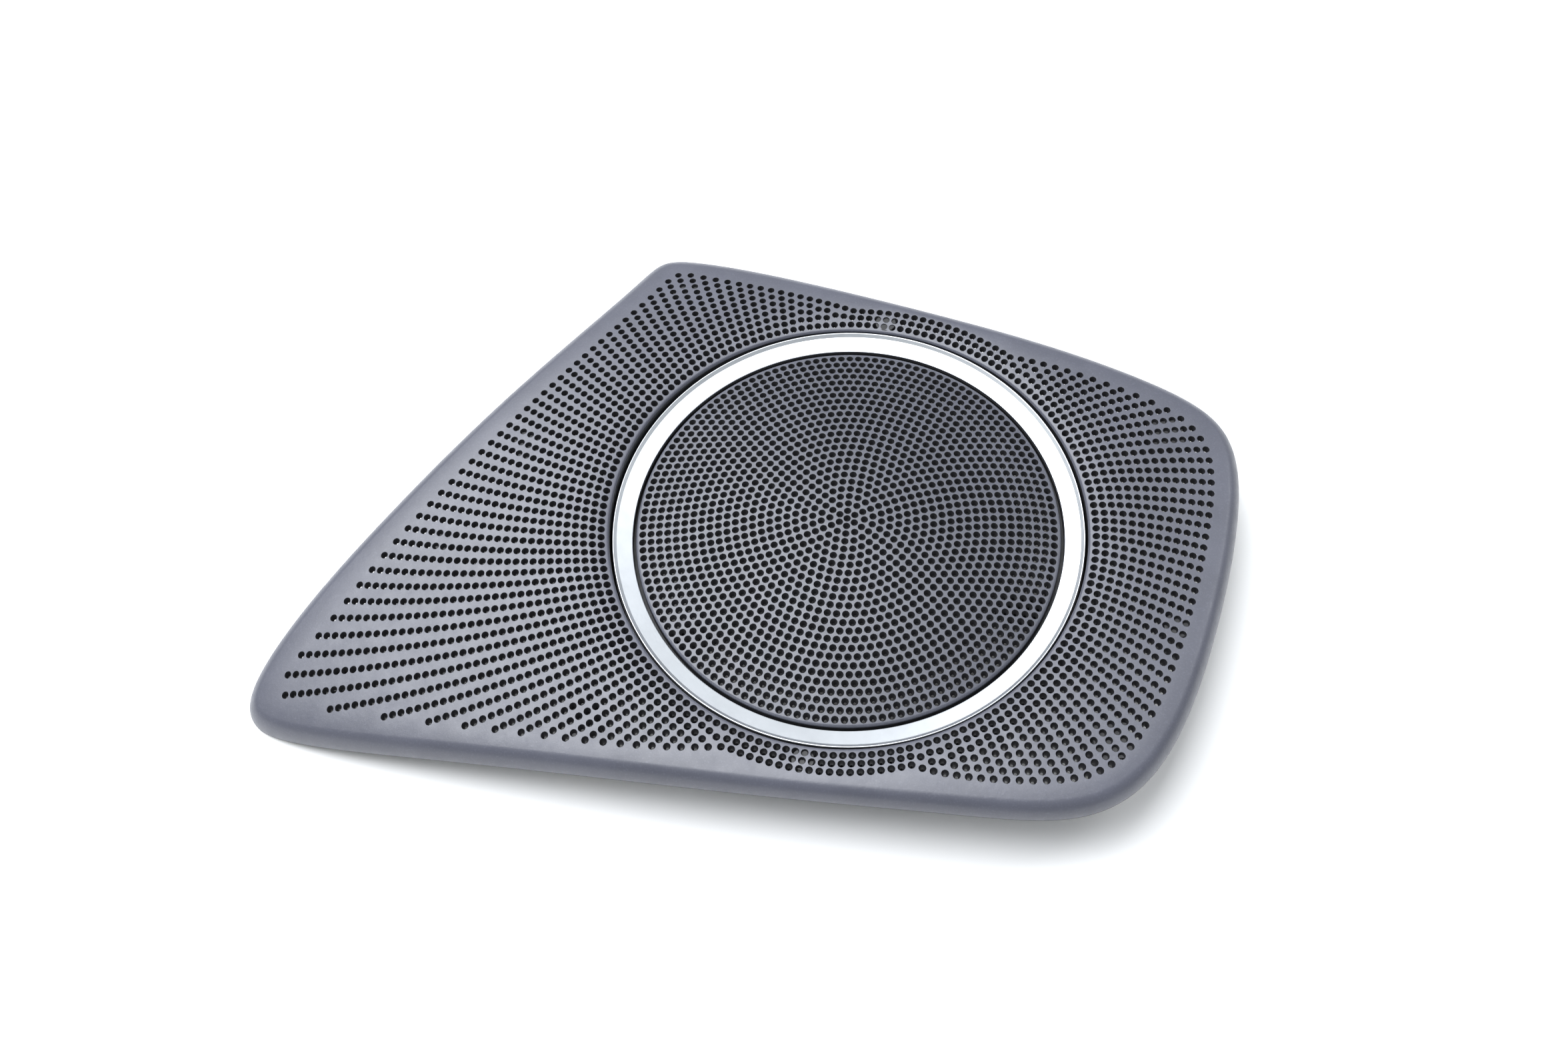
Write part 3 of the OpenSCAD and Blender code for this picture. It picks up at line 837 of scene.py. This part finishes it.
def make_round_parts(finish):
    """The tweeter's turned parts, each from its own profile."""
    bore = HOUSING_R - 1.5
    yoke_z, magnet_z, plate_z, gap_top = FLOOR_Z + 1.2, FLOOR_Z + 3.2, FLOOR_Z + 6.4, FLOOR_Z + 8.4
    half_roll = [((ROLL_IN + ROLL_OUT) / 2 + (ROLL_OUT - ROLL_IN) / 2 * math.cos(a),
                  RIM_Z + 1.5 * math.sin(a)) for a in np.linspace(math.pi, 0, 15)]
    under_roll = [(r, z - 0.25) for r, z in half_roll]
    surround = smooth_line(under_roll) + [(bore + 0.6, RIM_Z, 0.7, -0.7), (bore + 0.6, RIM_Z + 0.2, 0.7, 0.7),
                                          (ROLL_OUT + 0.2, RIM_Z + 0.2, 0, 1)]
    surround += [(r, z, -nr, -nz) for r, z, nr, nz in smooth_line(half_roll)][::-1]
    dome_z, dome_h = RIM_Z - 0.1, 5.5
    arc = np.linspace(0, math.pi / 2, 40)
    outer = [((FORMER_R + 0.05) * math.sin(a), dome_z + dome_h * math.cos(a)) for a in arc]
    inner = [((FORMER_R - 0.25) * math.sin(a), dome_z + (dome_h - 0.3) * math.cos(a)) for a in arc]
    dome = smooth_line(inner) + smooth_line(outer[::-1])
    parts = [
        ("housing_cup", "tweeter", "cover", ["tweeter_housing"], "tweeter_plastic", rounded(
            [(0, FLOOR_Z), (HOUSING_R, FLOOR_Z), (HOUSING_R, -8), (FLANGE_R, -8), (FLANGE_R, RIM_Z),
             (bore, RIM_Z), (bore, yoke_z), (0, yoke_z)], 0.3)),
        ("face_ring_trim", "tweeter", "cover", ["tweeter_face_ring"], "tweeter_plastic", rounded(
            [(bore + 0.6, RIM_Z), (FLANGE_R, RIM_Z), (FLANGE_R, RIM_Z + 1), (FLANGE_R - 0.5, RIM_Z + 1.5),
             (ROLL_OUT + 1, RIM_Z + 1.5), (ROLL_OUT + 0.3, RIM_Z + 1), (ROLL_OUT + 0.3, RIM_Z + 0.22),
             (bore + 0.6, RIM_Z + 0.22)], 0.15)),
        ("dome_foil", "dome", "moving_assembly", ["dome_diaphragm"], "dome_aluminium", dome),
        ("surround_roll", "rubber", None, ["surround"], "surround_rubber", surround),
        ("former_tube", "film", "moving_assembly", ["coil_former"], "former_film", rounded(
            [(FORMER_R - 0.15, magnet_z + 1.2), (FORMER_R, magnet_z + 1.2), (FORMER_R, RIM_Z - 0.1),
             (FORMER_R - 0.15, RIM_Z - 0.1)], 0.04)),
        ("coil_windings", "copper", "moving_assembly", ["voice_coil"], "coil_copper", coil_profile(
            FORMER_R, FORMER_R + 0.4, gap_top - 3, gap_top + 0.6)),
        ("magnet_disc", "nickel", "cover", ["magnet"], "magnet_nickel", rounded(
            [(0, magnet_z), (11, magnet_z), (11, plate_z), (0, plate_z)], 0.3)),
        ("pole_plate_disc", "yoke", "cover", ["pole_plate"], "yoke_steel", rounded(
            [(0, plate_z), (FORMER_R - 0.45, plate_z), (FORMER_R - 0.45, gap_top), (0, gap_top)], 0.2)),
        ("yoke_cup_turned", "yoke", "cover", ["yoke_cup"], "yoke_steel", rounded(
            [(0, yoke_z), (15.4, yoke_z), (15.4, gap_top), (FORMER_R + 0.75, gap_top),
             (FORMER_R + 0.75, magnet_z), (0, magnet_z)], 0.25)),
        ("felt_pad", "felt", "cover", ["damping_felt"], "felt", rounded(
            [(0, gap_top), (10.5, gap_top), (10.5, gap_top + 1.2), (0, gap_top + 1.2)], 0.35)),
    ]
    for name, key, body, nodes, slot, stations in parts:
        shell = Shell()
        shell.turn(stations, 144)
        piece = shell.build(name, finish[key], body, nodes, slot)
        if name == "surround_roll":
            follow_dome(piece)


def follow_dome(roll):
    """The roll's outer edge sits on the housing and its inner edge on the dome. Only its placement is
    baked into its points here; no weights make it follow the dome."""
    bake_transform(roll)


def coil_profile(r0, r1, z0, z1):
    """Wire laid turn on turn round a tube."""
    turns = 18
    wire = (z1 - z0) / turns
    outside = [(r1 - 0.05 + 0.05 * math.sin(TAU * k / 4), z0 + wire * k / 4) for k in range(4 * turns + 1)]
    return smooth_line(outside) + [(r0, z1, -1, 0), (r0, z0, -1, 0)]


def rounded_box(low, high, radius=0.3):
    """A box with bevelled edges, as loops stacked from the top down."""
    (x0, y0, z0), (x1, y1, z1) = low, high
    r = radius

    def loop(inset):
        a0, b0, a1, b1 = x0 + inset, y0 + inset, x1 - inset, y1 - inset
        return np.array([(a0 + r, b0), (a1 - r, b0), (a1, b0 + r), (a1, b1 - r), (a1 - r, b1),
                         (a0 + r, b1), (a0, b1 - r), (a0, b0 + r)])

    shell = Shell()
    shell.stack([(loop(r * 0.6), z1), (loop(0), z1 - r * 0.6), (loop(0), z0 + r * 0.6), (loop(r * 0.6), z0)])
    return shell


def make_terminals(finish):
    """The socket as a shroud of four walls, a back and a key, the two blades in it and their leads."""
    y0, y1, z0, z1 = -HOUSING_R - 9, -HOUSING_R + 1, -16.4, -10.2
    blade_low, blade_high, tail_low, tail_high, lead_z = -13.3, -12.7, -13.2, -8, -7.7
    shroud = Shell()
    walls = [((-6, y0, z0), (6, y1, z0 + 1)), ((-6, y0, z1 - 1), (6, y1, z1)),
             ((-6, y0, z0 + 0.5), (-4.8, y1, z1 - 0.5)), ((4.8, y0, z0 + 0.5), (6, y1, z1 - 0.5)),
             ((-5, y0 + 6, z0 + 0.5), (5, y1, z1 - 0.5))]
    for low, high in walls:
        shroud.join(rounded_box(low, high, 0.22))
    shroud.join(rounded_box((-1.6, y0 + 1.2, z1 - 0.5), (1.6, y0 + 5.5, z1 - 0.02), 0.2))
    shroud.build("socket_shroud", finish["tweeter"], "cover", ["terminal_socket"], "tweeter_plastic")
    blades, leads = Shell(), Shell()
    for side in (-1, 1):
        x = side * 2.5
        blades.join(rounded_box((x - 0.5, y0 + 1.5, blade_low), (x + 0.5, y0 + 12, blade_high), 0.15))
        blades.join(rounded_box((x - 0.5, y0 + 11.4, tail_low), (x + 0.5, y0 + 12, tail_high), 0.15))
        leads.join(braid((x, y0 + 11.7, lead_z), (x, y0 + 14.9, lead_z)))
    blades.build("contact_blades", finish["brass"], "cover", ["contact_pins"], "contact_brass")
    leads.build("lead_braids", finish["copper"], "cover", ["tinsel_leads"], "coil_copper")


def braid(start, end, radius=0.26, strands=4, turns=3, steps=36):
    """A short lead of twisted strands between two points along +Y."""
    shell = Shell()
    around = np.arange(8) * TAU / 8
    for s in range(strands):
        rows = []
        for k in range(steps + 1):
            t = k / steps
            phase = TAU * (turns * t + s / strands)
            middle = np.array([start[0] + 0.13 * math.cos(phase), start[1] + (end[1] - start[1]) * t,
                               start[2] + 0.13 * math.sin(phase)])
            out = np.stack([np.cos(around), 0 * around, -np.sin(around)], -1)
            rows.append((shell.add(middle + out * radius * 0.48), out))
        for (a, na), (b, nb) in zip(rows, rows[1:]):
            shell.band(b, a, nb, na)
        for (ring, _), flip in ((rows[0], False), (rows[-1], True)):
            corners = ring[::-1] if flip else ring
            shell.face(corners[None, :], np.array([0, -1.0 if not flip else 1.0, 0]))
    return shell


# ---------------------------------------------------------------- stage, light and camera


def make_stage():
    bpy.ops.mesh.primitive_plane_add(size=6, location=(0, 0, 0))
    floor = bpy.context.object
    floor.name = "floor"
    f = Finish("floor_white", (0.93, 0.93, 0.93), 0.6, Emission_Color=(1, 1, 1, 1), Emission_Strength=0.04)
    f.tint(f.noise(400, 1), (0.92, 0.92, 0.925))
    floor.data.materials.append(f.material)

    world = bpy.data.worlds.new("studio")
    bpy.context.scene.world = world
    world.use_nodes = True
    nodes, links = world.node_tree.nodes, world.node_tree.links
    nodes["Background"].inputs["Color"].default_value = (0.93, 0.97, 1.0, 1)
    way = nodes.new("ShaderNodeSeparateXYZ")
    links.new(nodes.new("ShaderNodeTexCoord").outputs["Generated"], way.inputs["Vector"])
    fade = nodes.new("ShaderNodeMapRange")
    links.new(way.outputs["Y"], fade.inputs["Value"])
    for key, value in (("From Min", -1.0), ("From Max", 1.0), ("To Min", 0.45), ("To Max", 0.7)):
        fade.inputs[key].default_value = value
    links.new(fade.outputs["Result"], nodes["Background"].inputs["Strength"])
    bpy.context.scene.view_settings.view_transform = "Standard"


def softbox(name, place, size, radiance, colour):
    """A soft area light of even radiance that faces the middle of the floor."""
    light = bpy.data.lights.new(name, "AREA")
    light.shape, light.size, light.size_y = "RECTANGLE", size[0], size[1]
    light.energy, light.color = radiance * math.pi * size[0] * size[1], colour
    obj = bpy.data.objects.new(name, light)
    bpy.context.scene.collection.objects.link(obj)
    obj.location = place
    obj.rotation_mode = "QUATERNION"
    obj.rotation_quaternion = (-Vector(place)).to_track_quat("-Z", "Y")


def make_lights():
    cool = (0.96, 0.98, 1.0)
    softbox("main", (-0.4, 0.3, 1.2), (1.3, 1.25), 6.1, cool)
    softbox("side", (0.95, 0.35, 0.95), (0.4, 0.5), 4.0, cool)


def make_camera():
    camera = bpy.data.cameras.new("camera")
    camera.sensor_width, camera.lens = 36.0, 37.0
    camera.clip_start, camera.clip_end = 0.01, 20
    obj = bpy.data.objects.new("camera", camera)
    bpy.context.scene.collection.objects.link(obj)
    bpy.context.scene.camera = obj
    eye = Vector(placed((-18.27, -226.43, 412.75)))
    tilt, roll = math.radians(60.846), math.radians(-5.12)
    look = Vector((0, math.cos(tilt), -math.sin(tilt)))
    obj.location = eye
    obj.rotation_mode = "QUATERNION"
    level = look.to_track_quat("-Z", "Y")
    obj.rotation_quaternion = Matrix.Rotation(-roll, 3, look).to_quaternion() @ level


make_camera()
finishes = make_finishes()
make_panel(finishes)
make_grille(finishes)
make_ring(finishes)
make_cloth(finishes)
make_carrier(finishes)
make_seal(finishes)
make_screws(finishes, "carrier_screw_set", "carrier_screws", screw(2.8, 2.0, 1.4, 6.5),
            circle(CARRIER_SCREW_R, 6, CARRIER_SCREW_TURN), -8)
make_screws(finishes, "bracket_screw_set", "bracket_screws", screw(2.6, 1.8, 1.2, 5.0),
            circle(BRACKET_SCREW_R, 3, math.pi / 2), -10)
make_screws(finishes, "housing_screw_set", "housing_screws", screw(2.2, 1.2, 0.85, 5.0),
            circle(HOUSING_SCREW_R, 3, HOUSING_SCREW_TURN), RIM_Z + 1.5, flip=True)
for number, place in enumerate(CLIPS, 1):
    make_clip(number, place, finishes)
make_bracket(finishes)
make_round_parts(finishes)
make_terminals(finishes)
make_stage()
make_lights()
